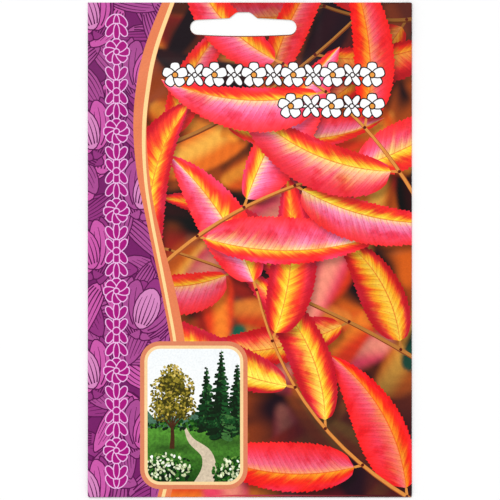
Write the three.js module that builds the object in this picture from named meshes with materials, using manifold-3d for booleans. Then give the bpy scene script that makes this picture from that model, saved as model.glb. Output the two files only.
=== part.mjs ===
// A paper seed packet, sealed and nearly flat, with a hang slot through its top. It lies on its back.
// Millimetres. +X runs to the right across the printed front, +Y up towards the hang slot, and +Z out
// of the front. The origin is under the middle of the packet, on the surface that it lies on.
//
// The packet is a flattened paper tube: the front ply wraps round both side folds to the back, where
// two back plies overlap in a long glued seam. The tube's foot is closed by a flap that folds up over
// the back, and its head, where the hang slot is punched, is pressed flat.
import * as THREE from "three";
import { mergeVertices } from "three/addons/utils/BufferGeometryUtils.js";
import Module from "manifold-3d";

const wasm = await Module();
wasm.setup();

// The whole packet
const PACKET_WIDTH = 97.5;
const PACKET_HEIGHT = 148.8;
const PAPER = 0.2; // thickness of one coated ply
const HEAD_THICKNESS = 3 * PAPER; // the flat head, over the seam
const RIM_THICKNESS = 4 * PAPER; // the pouch at its folds, over the seam and the foot flap
const DOME = 1.2; // how far the front rises from its rim to its middle

// The folds
const FOLD = RIM_THICKNESS / 2; // radius of the round edge
const FOLD_STEPS = 6;

// Head, seam and foot flap
const HEAD_LINE = 58; // where the pouch ends and the flat head begins
const HEAD_RAMP = 8; // length over which the front comes down to the head
const SEAM_EDGE = 22; // the cut edge of the outer back ply
const SEAM_OVERLAP = 9; // how far the other back ply reaches under it
const FLAP_LENGTH = 12; // from the foot fold to the flap's cut edge
const FLAP_TAPER = 4; // how much each end of the flap narrows towards that edge
const STEP_LENGTH = 1; // a ply climbs over the edge of another in this length
const STEP_GAP = 0.3; // and ends its climb this far from that edge

// Hang slot: two round-ended wings and a low hump in the middle of the upper edge
const SLOT_WIDTH = 32;
const SLOT_X = -1.95; // the slot's middle stands a little left of the packet's
const SLOT_LOW = 64.75; // lower edge, at the round ends
const SLOT_SAG = 0.4; // how far the lower edge bows down in the middle
const SLOT_HIGH = 69.2; // upper edge, at the round ends
const SHOULDER_HIGH = 69.7; // upper edge, at the foot of the hump
const HUMP_HIGH = 71.5;
const HUMP_HALF = 4.3; // half the hump's width at its foot
const CREST_HALF = 1.5; // half the width of its flat crest
const FLANK_CURVE = 1; // how far the handles of its flanks reach

// Worked out from the sizes above
const TOP = PACKET_HEIGHT / 2;
const FOOT = -PACKET_HEIGHT / 2 + FOLD; // where the plies meet the round foot fold
const SIDE = PACKET_WIDTH / 2 - FOLD; // where the plies meet the round side folds
const FLAP_EDGE = FOOT + FLAP_LENGTH;

// From 0 at one place to 1 at the other, evenly.
function ramp(value, from, to) {
  return THREE.MathUtils.clamp((value - from) / (to - from), 0, 1);
}

// Places from one end to the other, with both ends.
function span(from, to, steps) {
  return Array.from({ length: steps + 1 }, (_, i) => from + ((to - from) * i) / steps);
}

// The lowest surface of the tube: one ply up where the foot flap lies under it.
function tubeFloor(y) {
  return PAPER * ramp(y, FLAP_EDGE + STEP_GAP + STEP_LENGTH, FLAP_EDGE + STEP_GAP);
}

// The highest surface of the tube along its side folds.
function tubeRoof(y) {
  const intoHead = THREE.MathUtils.smoothstep(y, HEAD_LINE - HEAD_RAMP, HEAD_LINE);
  return THREE.MathUtils.lerp(RIM_THICKNESS, HEAD_THICKNESS, intoHead);
}

// How far the front stands above its side folds: a low pillow between the foot and the head.
function pillow(x, y) {
  const across = x / SIDE;
  const middle = (FOOT + HEAD_LINE) / 2;
  const along = (y - middle) / (HEAD_LINE - middle);
  return DOME * (1 - across ** 2) * Math.max(0, 1 - along ** 2);
}

// A closed sheet over a grid of columns and rows. upper and lower give the sheet's two surfaces.
function sheet(columns, rows, upper, lower) {
  const place = (surface) => columns.flatMap((c) => rows.flatMap((y) => surface(c, y).toArray()));
  const positions = [...place(upper), ...place(lower)];
  const under = columns.length * rows.length;
  const at = (i, j) => i * rows.length + j;
  const triangles = [];
  const quad = (a, b, c, d) => triangles.push(a, b, c, a, c, d);
  const lastColumn = columns.length - 1;
  const lastRow = rows.length - 1;
  for (let i = 0; i < lastColumn; i++) {
    for (let j = 0; j < lastRow; j++) {
      quad(at(i, j), at(i + 1, j), at(i + 1, j + 1), at(i, j + 1));
      quad(under + at(i, j), under + at(i, j + 1), under + at(i + 1, j + 1), under + at(i + 1, j));
    }
    quad(under + at(i, 0), under + at(i + 1, 0), at(i + 1, 0), at(i, 0));
    quad(at(i, lastRow), at(i + 1, lastRow), under + at(i + 1, lastRow), under + at(i, lastRow));
  }
  for (let j = 0; j < lastRow; j++) {
    quad(at(0, j), at(0, j + 1), under + at(0, j + 1), under + at(0, j));
    const edge = (row) => at(lastColumn, row);
    quad(under + edge(j), under + edge(j + 1), edge(j + 1), edge(j));
  }
  const geometry = new THREE.BufferGeometry();
  geometry.setAttribute("position", new THREE.Float32BufferAttribute(positions, 3));
  geometry.setIndex(triangles);
  return geometry;
}

// A level ply of the back, lifted by a function of its place.
function backPly(columns, rows, lift) {
  return sheet(
    columns,
    rows,
    (x, y) => new THREE.Vector3(x, y, lift(x, y) + PAPER),
    (x, y) => new THREE.Vector3(x, y, lift(x, y)),
  );
}

// The stations across the front ply, from one side fold's end on the back round to the other's.
// Each has the side that it is on, and either its angle round the fold or its place across the front.
function frontStations() {
  const left = span(-Math.PI / 2, Math.PI / 2, FOLD_STEPS).map((angle) => ({ side: -1, angle }));
  const right = span(Math.PI / 2, -Math.PI / 2, FOLD_STEPS).map((angle) => ({ side: 1, angle }));
  const across = span(-SIDE, SIDE, 18).slice(1, -1).map((x) => ({ x }));
  return [...left, ...across, ...right];
}

// A point of the front ply, as deep under its outer surface as inset says.
function frontPoint(station, y, inset) {
  const floor = tubeFloor(y);
  const roof = tubeRoof(y);
  if (station.side === undefined) {
    return new THREE.Vector3(station.x, y, roof + pillow(station.x, y) - inset);
  }
  const reach = (FOLD - inset) * Math.cos(station.angle);
  const rise = ((roof - floor) / 2 - inset) * Math.sin(station.angle);
  return new THREE.Vector3(station.side * (SIDE + reach), y, (roof + floor) / 2 + rise);
}

// The hang slot's outline.
function slotShape() {
  const radius = (SLOT_HIGH - SLOT_LOW) / 2;
  const end = SLOT_WIDTH / 2 - radius;
  const middle = SLOT_LOW + radius;
  const quarter = Math.PI / 2;
  const shape = new THREE.Shape();
  shape.moveTo(-end, SLOT_LOW);
  shape.quadraticCurveTo(0, SLOT_LOW - 2 * SLOT_SAG, end, SLOT_LOW);
  shape.absarc(end, middle, radius, -quarter, quarter, false);
  const flankX = HUMP_HALF - FLANK_CURVE;
  const flankY = SHOULDER_HIGH + FLANK_CURVE / 2;
  const crestX = CREST_HALF + FLANK_CURVE;
  shape.lineTo(HUMP_HALF, SHOULDER_HIGH);
  shape.bezierCurveTo(flankX, flankY, crestX, HUMP_HIGH, CREST_HALF, HUMP_HIGH);
  shape.lineTo(-CREST_HALF, HUMP_HIGH);
  shape.bezierCurveTo(-crestX, HUMP_HIGH, -flankX, flankY, -HUMP_HALF, SHOULDER_HIGH);
  shape.lineTo(-end, SLOT_HIGH);
  shape.absarc(-end, middle, radius, quarter, 3 * quarter, false);
  return shape;
}

// A shape pulled up along +Z from one height to another.
function prism(shape, low, high, curveSegments) {
  const geometry = new THREE.ExtrudeGeometry(shape, {
    depth: high - low,
    bevelEnabled: false,
    curveSegments,
  });
  return geometry.translate(0, 0, low);
}

// Solids that can be cut, and back to geometry.
function toSolid(geometry) {
  const bare = geometry.clone();
  bare.deleteAttribute("normal");
  bare.deleteAttribute("uv");
  const merged = mergeVertices(bare, 1e-4);
  return new wasm.Manifold(
    new wasm.Mesh({
      numProp: 3,
      vertProperties: merged.attributes.position.array,
      triVerts: new Uint32Array(merged.index.array),
    }),
  );
}

function toGeometry(solid) {
  const mesh = solid.getMesh();
  const geometry = new THREE.BufferGeometry();
  geometry.setAttribute("position", new THREE.BufferAttribute(mesh.vertProperties, 3));
  geometry.setIndex(new THREE.BufferAttribute(mesh.triVerts, 1));
  geometry.computeVertexNormals();
  return geometry;
}

// The punch that cuts the hang slot through every ply.
function slotPunch() {
  const clear = 2 * RIM_THICKNESS;
  return toSolid(prism(slotShape(), -clear, RIM_THICKNESS + clear, 10).translate(SLOT_X, 0, 0));
}

// The printed front, with both side folds.
function frontPanel() {
  const rows = [
    ...span(FOOT, FLAP_EDGE + STEP_GAP, 3),
    ...span(FLAP_EDGE + STEP_GAP + STEP_LENGTH, HEAD_LINE - HEAD_RAMP, 14),
    ...span(HEAD_LINE - HEAD_RAMP / 2, HEAD_LINE, 1),
    TOP,
  ];
  const ply = sheet(
    frontStations(),
    rows,
    (station, y) => frontPoint(station, y, 0),
    (station, y) => frontPoint(station, y, PAPER),
  );
  return toGeometry(toSolid(ply).subtract(slotPunch()));
}

// The wide ply of the back. Its right margin lies inside the packet, on the narrow ply.
function backPanel() {
  const climbEnd = SEAM_EDGE - STEP_GAP;
  const climbStart = climbEnd - STEP_LENGTH;
  const ply = backPly(
    [-SIDE, climbStart, climbEnd, SEAM_EDGE + SEAM_OVERLAP],
    [FOOT, FLAP_EDGE + STEP_GAP, FLAP_EDGE + STEP_GAP + STEP_LENGTH, TOP],
    (x, y) => tubeFloor(y) + PAPER * ramp(x, climbStart, climbEnd),
  );
  return toGeometry(toSolid(ply).subtract(slotPunch()));
}

// The narrow ply of the back, outermost at the seam.
function seamPanel() {
  return backPly(
    [SEAM_EDGE, SIDE],
    [FOOT, FLAP_EDGE + STEP_GAP, FLAP_EDGE + STEP_GAP + STEP_LENGTH, TOP],
    (x, y) => tubeFloor(y),
  );
}

// The round foot fold and the flap that it turns up over the back.
function footFlap() {
  const half = PACKET_WIDTH / 2;
  const quarter = Math.PI / 2;
  const section = new THREE.Shape(); // across the fold: y, z
  section.moveTo(FLAP_EDGE, 0);
  section.lineTo(FLAP_EDGE, PAPER);
  section.lineTo(FOOT, PAPER);
  section.absarc(FOOT, FOLD, FOLD - PAPER, 3 * quarter, quarter, true);
  section.lineTo(FOOT, RIM_THICKNESS);
  section.absarc(FOOT, FOLD, FOLD, quarter, 3 * quarter, false);
  const folded = prism(section, -half, half, FOLD_STEPS);
  folded.applyMatrix4(new THREE.Matrix4().set(0, 0, 1, 0, 1, 0, 0, 0, 0, 1, 0, 0, 0, 0, 0, 1));

  const outline = new THREE.Shape(); // what the tapered ends leave
  outline.moveTo(-half, FOOT - FOLD);
  outline.lineTo(half, FOOT - FOLD);
  outline.lineTo(half, FOOT);
  outline.lineTo(half - FLAP_TAPER, FLAP_EDGE);
  outline.lineTo(-half + FLAP_TAPER, FLAP_EDGE);
  outline.lineTo(-half, FOOT);
  const keep = prism(outline, -RIM_THICKNESS, 2 * RIM_THICKNESS, 1);
  return toGeometry(toSolid(folded).intersect(toSolid(keep)));
}

// Finishes: a full-colour satin print in front, plain coated paper behind.
const printedPaper = { color: 0xd8592f, roughness: 0.5, metalness: 0 };
const plainPaper = { color: 0xf1ebe2, roughness: 0.6, metalness: 0 };

const packet = new THREE.Group();

function addPly(name, geometry, finish) {
  const mesh = new THREE.Mesh(geometry, new THREE.MeshStandardMaterial(finish));
  mesh.name = name;
  packet.add(mesh);
}

addPly("front_panel", frontPanel(), printedPaper);
addPly("back_panel", backPanel(), plainPaper);
addPly("seam_panel", seamPanel(), plainPaper);
addPly("foot_flap", footFlap(), plainPaper);

export default packet;
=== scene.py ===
import math
from dataclasses import dataclass

import bpy
import numpy as np
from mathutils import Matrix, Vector
from mathutils.bvhtree import BVHTree
from mathutils.geometry import delaunay_2d_cdt


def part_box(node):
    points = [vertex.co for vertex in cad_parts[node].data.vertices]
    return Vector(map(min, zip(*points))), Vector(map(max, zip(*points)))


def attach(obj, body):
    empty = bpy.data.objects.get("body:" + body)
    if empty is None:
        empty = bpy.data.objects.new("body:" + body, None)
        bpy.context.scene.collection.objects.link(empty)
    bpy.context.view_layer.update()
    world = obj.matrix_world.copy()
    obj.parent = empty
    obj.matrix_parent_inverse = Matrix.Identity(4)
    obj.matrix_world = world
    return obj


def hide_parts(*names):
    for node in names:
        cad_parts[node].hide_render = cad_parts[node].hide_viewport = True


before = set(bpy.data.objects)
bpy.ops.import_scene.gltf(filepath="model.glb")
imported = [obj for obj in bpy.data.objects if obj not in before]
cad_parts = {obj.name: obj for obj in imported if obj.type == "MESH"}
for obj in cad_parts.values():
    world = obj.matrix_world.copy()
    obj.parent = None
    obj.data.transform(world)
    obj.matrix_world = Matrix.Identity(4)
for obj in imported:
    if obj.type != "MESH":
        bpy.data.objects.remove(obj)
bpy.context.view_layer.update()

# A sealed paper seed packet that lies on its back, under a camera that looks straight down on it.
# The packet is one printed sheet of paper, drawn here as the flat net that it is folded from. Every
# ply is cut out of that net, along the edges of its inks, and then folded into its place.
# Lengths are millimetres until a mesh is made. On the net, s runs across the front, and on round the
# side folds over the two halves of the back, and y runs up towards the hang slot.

MM = 0.001

# Sizes taken from the frame


def corners(node):
    """The lowest and the highest corner of a node's box."""
    low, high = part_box(node)
    return np.round(np.array(low) / MM, 3), np.round(np.array(high) / MM, 3)


FRONT_HIGH = corners("front_panel")[1]
FLAP_LOW, FLAP_HIGH = corners("foot_flap")
TOP = FRONT_HIGH[1]
RIM = FLAP_HIGH[2]  # thickness at the folds
FOLD = RIM / 2  # radius of the round folds
SIDE = FRONT_HIGH[0] - FOLD  # where the plies meet the side folds
FOOT = FLAP_LOW[1] + FOLD  # where they meet the foot fold
FLAP_EDGE = FLAP_HIGH[1]
DOME = FRONT_HIGH[2] - RIM  # how far the front rises from its rim to its middle
SEAM_EDGE = corners("seam_panel")[0][0]  # the cut edge of the outer back ply
HIDDEN_EDGE = corners("back_panel")[1][0]  # the other back ply's edge, inside

# Sizes of the plies, as the CAD has them
PAPER = 0.2
HEAD = 3 * PAPER  # thickness of the flat head
HEAD_LINE = 58
HEAD_RAMP = 8
STEP_LENGTH = 1
STEP_GAP = 0.3
FLAP_TAPER = 4

# Hang slot
SLOT_WIDTH = 32
SLOT_X = -1.95
SLOT_LOW = 64.75
SLOT_SAG = 0.4
SLOT_HIGH = 69.2
SHOULDER_HIGH = 69.7
HUMP_HIGH = 71.5
HUMP_HALF = 4.3
CREST_HALF = 1.5  # half the width of the hump's flat crest
FLANK_CURVE = 1  # how far the handles of its flanks reach
SLOT_EDGE_SHADE_WIDTH = 0.28  # a thin dark line of painted shade along the slot's lower edge

# The net
ARC = math.pi * FOLD  # the paper in one fold
ARC_END = SIDE + ARC  # where a side fold ends and the back begins
BACK_MIDDLE = ARC_END + SIDE  # where the middle of the back comes, on either side
CAP_PART = 0.96  # how much of the way to the very corner the foot fold's round cap is meshed
BLEED = 2.2  # how far the front's print runs on past the folds
GRID = 0.75  # spacing of the mesh on the print
COARSE = 4.0  # and on the plain inner side

# Seeds of the random draws for each part of the print
PICTURE_SEED = 7
STRIP_SEED = 23
INSET_SEED = 5

# Light: what a white floor sends back, and what the gloss adds to every ink
LIGHT_LEVEL = 1.08
GLOSS_VEIL = 0.010


# Inks


def linear(rgb):
    """Scene colour of an sRGB colour from 0 to 255."""
    c = np.asarray(rgb, float) / 255
    return np.where(c <= 0.04045, c / 12.92, ((c + 0.055) / 1.055) ** 2.4)


def ink(rgb):
    """The paper colour that looks like rgb under this scene's light."""
    return np.clip((linear(rgb) - GLOSS_VEIL) / LIGHT_LEVEL, 0.001, 0.95)


PAPER_WHITE = (250, 248, 243)
PAPER_SHADE = (226, 221, 212)  # between its fibres
BAND_ORANGE = (233, 131, 88)
BAND_CREAM = (254, 218, 153)
INSET_ORANGE = (222, 134, 98)
INSET_CREAM = (252, 214, 158)
STRIP_DARK = (120, 38, 104)
STRIP_MID = (150, 56, 128)
STRIP_FULL = (171, 78, 147)
STRIP_BRIGHT = (205, 92, 170)
STRIP_LIGHT = (216, 136, 192)
STRIP_LINE = (90, 18, 78)
FRIEZE_FILL = (170, 30, 126)
FRIEZE_EDGE = (240, 190, 234)
GARLAND_FILL = (255, 255, 255)
GARLAND_EDGE = (46, 10, 20)
# Painted shade: the colour of a thin dark line along the slot's lower edge, standing in for the shadow there
SLOT_EDGE_SHADE = (112, 58, 48)


# What an ink gives each corner: its colour, and 1 where it is a leaf's; how far along and across
# that leaf it is, and the leaf's seed; the leaf's tints and half width; and the ink's mottle, which
# is how strongly fine light and dark break it up
INK = slice(0, 4)
PLACE = slice(4, 7)
TINTS = slice(7, 10)
MOTTLE = slice(10, 11)
FIELDS = 11


def ink_values(points, colour, mottle):
    """What an ink that is no leaf's gives these points."""
    values = np.zeros((len(points), FIELDS))
    values[:, :3] = colour
    values[:, MOTTLE] = mottle
    return values


@dataclass(frozen=True)
class Plain:
    """One flat ink. Two of one colour count as the same ink."""

    rgb: tuple
    mottle: float = 0.0

    def paint(self, points):
        return ink_values(points, ink(self.rgb), self.mottle)


class Painted:
    """An ink whose colour is a function of its place."""

    def __init__(self, function, mottle=0.0):
        self.function = function
        self.mottle = mottle

    def paint(self, points):
        return ink_values(points, self.function(points[:, 0], points[:, 1]), self.mottle)


# Outlines


def smooth(value, start, end):
    """From 0 at start to 1 at end, with an easy beginning and end."""
    t = np.clip((value - start) / (end - start), 0, 1)
    return t * t * (3 - 2 * t)


def ramp(value, start, end):
    return np.clip((value - start) / (end - start), 0, 1)


def on_arc(x, y, heading, length, bend, t):
    """Points t of the way along an arc that leaves x, y, and their headings. bend is its whole turn."""
    turn = bend * t
    reach = length * t * np.sinc(turn / (2 * np.pi))
    return x + reach * np.cos(heading + turn / 2), y + reach * np.sin(heading + turn / 2), heading + turn


def ahead(spot, heading, distance):
    """The point that far from a spot, in that direction."""
    return spot[0] + distance * math.cos(heading), spot[1] + distance * math.sin(heading)


def swelling(t, widest, fullness):
    """How wide a blade is t of the way along it, from 0 at its ends to 1 where it is widest."""
    a, b = fullness * widest, fullness * (1 - widest)
    return t**a * (1 - t) ** b / (widest**a * (1 - widest) ** b)


def beside_arc(x, y, heading, length, bend, t, across):
    """Points t of the way along such an arc and as far as across to its left."""
    cx, cy, turn = on_arc(x, y, heading, length, bend, t)
    return np.column_stack([cx - across * np.sin(turn), cy + across * np.cos(turn)])


def blade_line(x, y, heading, length, width, widest, fullness, bend, part, t):
    """A line along a blade: part is how far across it lies, from -1 at the right edge to 1 at the left."""
    across = part * width / 2 * swelling(t, widest, fullness)
    return beside_arc(x, y, heading, length, bend, t, across)


def blade(x, y, heading, length, width, widest=0.4, fullness=1.3, bend=0.0, steps=9):
    """A leaf or petal that grows from x, y. A low fullness makes its ends round."""
    t = (1 - np.cos(np.linspace(0, np.pi, steps + 1))) / 2
    shape = (x, y, heading, length, width, widest, fullness, bend)
    right, left = blade_line(*shape, -1, t), blade_line(*shape, 1, t)
    return np.vstack([right, left[-2:0:-1]])


def ribbon(points, start_width, end_width=None):
    """A band along a line of points, with its width going evenly from one to the other."""
    points = np.asarray(points, float)
    width = np.linspace(start_width, start_width if end_width is None else end_width, len(points))
    along = np.gradient(points, axis=0)
    along /= np.linalg.norm(along, axis=1)[:, None]
    out = np.column_stack([along[:, 1], -along[:, 0]]) * width[:, None] / 2
    return np.vstack([points + out, (points - out)[::-1]])


def ring(x, y, radius_x, radius_y=None, turn=0.0, steps=14):
    """An ellipse."""
    a = np.linspace(0, 2 * np.pi, steps, endpoint=False)
    u = radius_x * np.cos(a)
    v = (radius_x if radius_y is None else radius_y) * np.sin(a)
    return np.column_stack([x + u * np.cos(turn) - v * np.sin(turn), y + u * np.sin(turn) + v * np.cos(turn)])


def box(low_x, low_y, high_x, high_y):
    return np.array([(low_x, low_y), (high_x, low_y), (high_x, high_y), (low_x, high_y)], float)


def rounded_box(low_x, low_y, high_x, high_y, radius, steps=8):
    """A rectangle with round corners."""
    parts = []
    for x, y, start in (
        (high_x - radius, low_y + radius, -90),
        (high_x - radius, high_y - radius, 0),
        (low_x + radius, high_y - radius, 90),
        (low_x + radius, low_y + radius, 180),
    ):
        a = np.radians(start + np.linspace(0, 90, steps + 1))
        parts.append(np.column_stack([x + radius * np.cos(a), y + radius * np.sin(a)]))
    return np.vstack(parts)


def signed(points):
    """Twice the area inside an outline, below 0 where it runs clockwise."""
    x, y = points[:, 0], points[:, 1]
    return np.sum(x * np.roll(y, -1) - y * np.roll(x, -1))


def anticlockwise(points):
    """The same outline, run anticlockwise."""
    points = np.asarray(points, float)
    return points if signed(points) > 0 else points[::-1]


def grown(points, distance):
    """The outline moved outwards, or inwards where distance is negative."""
    points = anticlockwise(points)
    before = points - np.roll(points, 1, axis=0)
    after = np.roll(points, -1, axis=0) - points
    before /= np.maximum(np.linalg.norm(before, axis=1), 1e-9)[:, None]
    after /= np.maximum(np.linalg.norm(after, axis=1), 1e-9)[:, None]
    both = before + after
    out = np.column_stack([both[:, 1], -both[:, 0]])
    size = np.maximum(np.linalg.norm(out, axis=1), 1e-9)
    stretch = np.minimum(2 / size, 1.8)
    return points + out / size[:, None] * (distance * stretch)[:, None]


def through(stations, steps=6):
    """A smooth line through rows of numbers: each column is a Catmull-Rom curve."""
    rows = np.asarray(stations, float)
    ends = np.vstack([2 * rows[0] - rows[1], rows, 2 * rows[-1] - rows[-2]])
    line = []
    for a, b, c, d in zip(ends, ends[1:], ends[2:], ends[3:]):
        square, cube = 2 * a - 5 * b + 4 * c - d, 3 * b - a - 3 * c + d
        for t in np.arange(steps) / steps:
            line.append(0.5 * (2 * b + (c - a) * t + square * t**2 + cube * t**3))
    line.append(rows[-1])
    return np.array(line)


def curve(points, steps):
    """A Bezier curve with any number of control points."""
    t = np.linspace(0, 1, steps)[:, None]
    rows = [np.array(p, float) for p in points]
    while len(rows) > 1:
        rows = [(1 - t) * a + t * b for a, b in zip(rows, rows[1:])]
    return rows[0]


def slot_outline():
    """The hang slot: two round-ended wings and a low hump in the middle of the upper edge."""
    radius = (SLOT_HIGH - SLOT_LOW) / 2
    end = SLOT_WIDTH / 2 - radius
    middle = SLOT_LOW + radius
    foot = curve(((-end, SLOT_LOW), (0, SLOT_LOW - 2 * SLOT_SAG), (end, SLOT_LOW)), 13)
    a = np.linspace(-np.pi / 2, np.pi / 2, 11)
    wing = np.column_stack([end + radius * np.cos(a), middle + radius * np.sin(a)])
    low_handle = (HUMP_HALF - FLANK_CURVE, SHOULDER_HIGH + FLANK_CURVE / 2)
    high_handle = (CREST_HALF + FLANK_CURVE, HUMP_HIGH)
    flank = curve(((HUMP_HALF, SHOULDER_HIGH), low_handle, high_handle, (CREST_HALF, HUMP_HIGH)), 9)
    half = np.vstack([wing[1:], flank])
    mirrored = half[::-1] * [-1, 1]
    return np.vstack([foot, half, mirrored]) + [SLOT_X, 0]


# The print


class Print:
    """Inks on the flat net, each laid over those before it."""

    def __init__(self):
        self.outlines = []
        self.inks = []
        self.clips = []
        self.windows = set()
        self.leaves = []

    def lay(self, outline, ink_used, window=None):
        """Lays an ink; with a window, it shows only inside that."""
        self.outlines.append(anticlockwise(outline))
        self.inks.append(ink_used)
        self.clips.append(window)
        return len(self.inks) - 1

    def window(self, outline):
        """An opening that hides what is already laid there. Its number clips what is laid in it later."""
        number = self.lay(outline, None)
        self.windows.add(number)
        return number

    def edged(self, outline, fill, edge, width, window=None):
        """A shape with a line round it, inside its outline."""
        self.lay(outline, edge, window)
        self.lay(grown(outline, -width), fill, window)

    def outlined(self, outline, fill, edge, width, window=None):
        """A shape with a line round it, outside its outline."""
        self.lay(grown(outline, width), edge, window)
        self.lay(outline, fill, window)

    def same_inks(self):
        """For each layer, the first one that has the same ink."""
        first = {}
        return np.array([first.setdefault(ink_used, n) for n, ink_used in enumerate(self.inks)])

    def top(self, numbers):
        """Which of these layers shows."""
        window = max((n for n in numbers if n in self.windows), default=None)
        floor = -1 if window is None else window
        shown = [n for n in numbers if n > floor and self.clips[n] in (None, window)]
        return max(shown, default=0)


# The main picture: autumn leaves on twigs, over leaves that are out of focus

TOOTH_PITCH = 1.35
TOOTH = 0.56
LEAF_WIDEST = 0.36
LEAF_FULLNESS = 1.3
VEIN_PITCH = 1.9
VEIN_SLANT = 0.8
LEAF_SHADE = 0.5  # how much of the light a leaf takes from what lies under it
LEAF_SHADOW_FALL = (0.9, -1.7)  # from the leaf to its shadow, rightwards and upwards


class Leaf:
    """A saw-toothed leaf. Its shader gets the place on the leaf, its tints and its seed.

    tints says how warm and how pink it is. tilt is how much wider its left half is than its right.
    """

    def __init__(self, x, y, heading, length, half_width, bend, tilt, tints=(0, 0), shade=(1, 1, 1), seed=0):
        self.x, self.y, self.heading = x, y, heading
        self.length, self.half_width, self.tilt = length, half_width, tilt
        self.bend = bend if abs(bend) > 1e-3 else 1e-3
        self.tints = (*tints, half_width)
        self.shade = shade
        self.seed = seed

    def half(self, along, side):
        """Half the leaf's width, on its left (1) or its right (-1)."""
        t = np.clip(along / self.length, 0, 1)
        return self.half_width * (1 + self.tilt * side) * swelling(t, LEAF_WIDEST, LEAF_FULLNESS)

    def place(self, along, across):
        t = along / self.length
        return beside_arc(self.x, self.y, self.heading, self.length, self.bend, t, across)

    def locate(self, points):
        """The other way round: how far along and across the leaf these points are."""
        radius = self.length / self.bend
        dx = points[:, 0] - (self.x - radius * math.sin(self.heading))
        dy = points[:, 1] - (self.y + radius * math.cos(self.heading))
        way = np.sign(radius)
        turn = np.arctan2(dx * way, -dy * way) - self.heading
        turn = (turn + np.pi) % (2 * np.pi) - np.pi
        return turn * radius, radius - way * np.hypot(dx, dy)

    def outline(self):
        count = max(4, int(self.length / TOOTH_PITCH))
        start = np.arange(count) * self.length / count
        along = np.column_stack([start, start + 0.8 * self.length / count]).ravel()[1:]
        tooth = np.tile([-0.45, 0.55], count)[1:] * TOOTH
        edges = []
        for side in (-1, 1):
            half = self.half(along, side)
            uneven = 0.75 + 0.45 * np.sin(along * 2.7 + self.seed * 9 + side)
            half = half + tooth * uneven * np.clip(half / 3, 0, 1) * (along > 0.12 * self.length)
            edges.append(self.place(along, side * half))
        tip = self.place(np.array([self.length]), np.zeros(1))
        base = self.place(np.zeros(1), np.zeros(1))
        return np.vstack([base, edges[0], tip, edges[1][::-1]])

    def spine(self):
        along = np.linspace(0, self.length, max(5, int(self.length / 2.5)))
        return self.place(along, np.zeros(len(along)))

    def paint(self, points):
        along, across = self.locate(points)
        side = np.where(across >= 0, 1, -1)
        near = np.maximum(self.half(along, side), 0.3)
        lit_side = 1 if self.tilt >= 0 else -1
        values = np.zeros((len(points), FIELDS))
        values[:, INK] = (*self.shade, 1)
        values[:, PLACE] = np.column_stack([along, across / near * lit_side, np.full(len(points), self.seed)])
        values[:, TINTS] = self.tints
        return values

    def cover(self, points, soft):
        """How far the leaf covers these points, from 0 to 1, with an edge as soft as that."""
        along, across = self.locate(points)
        side = np.where(across >= 0, 1, -1)
        depth = self.half(along, side) - np.abs(across)
        ends = smooth(along, -soft, soft) * (1 - smooth(along, self.length - 2 * soft, self.length))
        return smooth(depth, -soft, soft) * ends

    def shadow(self, points):
        """How much this leaf shades what lies under it."""
        return self.cover(points - LEAF_SHADOW_FALL, 1.3)


BACKDROP_BASE = (160, 70, 32)
BACKDROP_TINTS = (
    (214, 96, 34), (178, 80, 34), (122, 58, 30), (150, 40, 34), (46, 92, 78), (58, 30, 26),
    (26, 14, 28), (22, 12, 28), (30, 14, 30), (92, 46, 26), (206, 112, 44),
)
# Leaves out of focus: the tint at their edge and along their middle
SOFT_LEAF_TINTS = (
    ((238, 92, 34), (250, 150, 52)),
    ((226, 60, 36), (244, 128, 46)),
    ((206, 38, 40), (238, 84, 42)),
    ((232, 112, 38), (246, 176, 74)),
    ((196, 62, 34), (216, 120, 50)),
    ((226, 70, 96), (240, 140, 120)),
    ((18, 52, 44), (34, 92, 72)),
    ((20, 10, 24), (54, 24, 28)),
)
GLOOM_DEPTH = (44, 12, 36)  # the colour of the deepest shade
GLOOM_COVER = 0.9  # how much of the backdrop that shade hides where it is deepest
SOFT_SPOTS = 90
SOFT_LEAVES = 46
SOFT_LEAF_ROW = 6  # how many of them stand in a row
SOFT_SHADE = 0.32
SOFT_SHADOW_FALL = (0.8, -1.6)


def gloom(x, y):
    """The picture darkens towards its head, more so on the right, and towards its right foot."""
    foot = smooth(y, -22, -54) * smooth(x, -12, 16)
    head = smooth(y, 36, 64) * (0.45 + 0.4 * smooth(x, 0, 32))
    return np.maximum(head, foot)


def soft_spots(rng):
    """Far leaves, quite blurred: place, heading, half length and width, softness and colour of each."""
    spots = []
    for _ in range(SOFT_SPOTS):
        x, y = rng.uniform(-34, 52), rng.uniform(-78, 78)
        half_length, half_width = rng.uniform(8, 20), rng.uniform(3, 7)
        tint = BACKDROP_TINTS[rng.integers(len(BACKDROP_TINTS))]
        spots.append((x, y, rng.uniform(0, np.pi), half_length, half_width, rng.uniform(0.2, 0.5), ink(tint)))
    return spots


def soft_leaves(rng):
    """Nearer leaves, a little blurred: the leaf, its softness and its two colours."""
    leaves = []
    for k in range(SOFT_LEAVES):
        x = -30 + 16.5 * (k % SOFT_LEAF_ROW) + rng.uniform(-6, 6)
        y = -82 + 20 * (k // SOFT_LEAF_ROW) + rng.uniform(-8, 8)
        heading = rng.uniform(0, 2 * np.pi)
        size, half_width = rng.uniform(30, 50), rng.uniform(4.5, 7.0)
        leaf = Leaf(x, y, heading, size, half_width, rng.uniform(-1, 1), rng.uniform(-0.4, 0.4))
        edge, middle = SOFT_LEAF_TINTS[rng.integers(len(SOFT_LEAF_TINTS))]
        shade = rng.uniform(0.7, 1.15)
        leaves.append((leaf, rng.uniform(0.7, 1.8), ink(edge) * shade, ink(middle) * shade))
    return leaves


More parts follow.
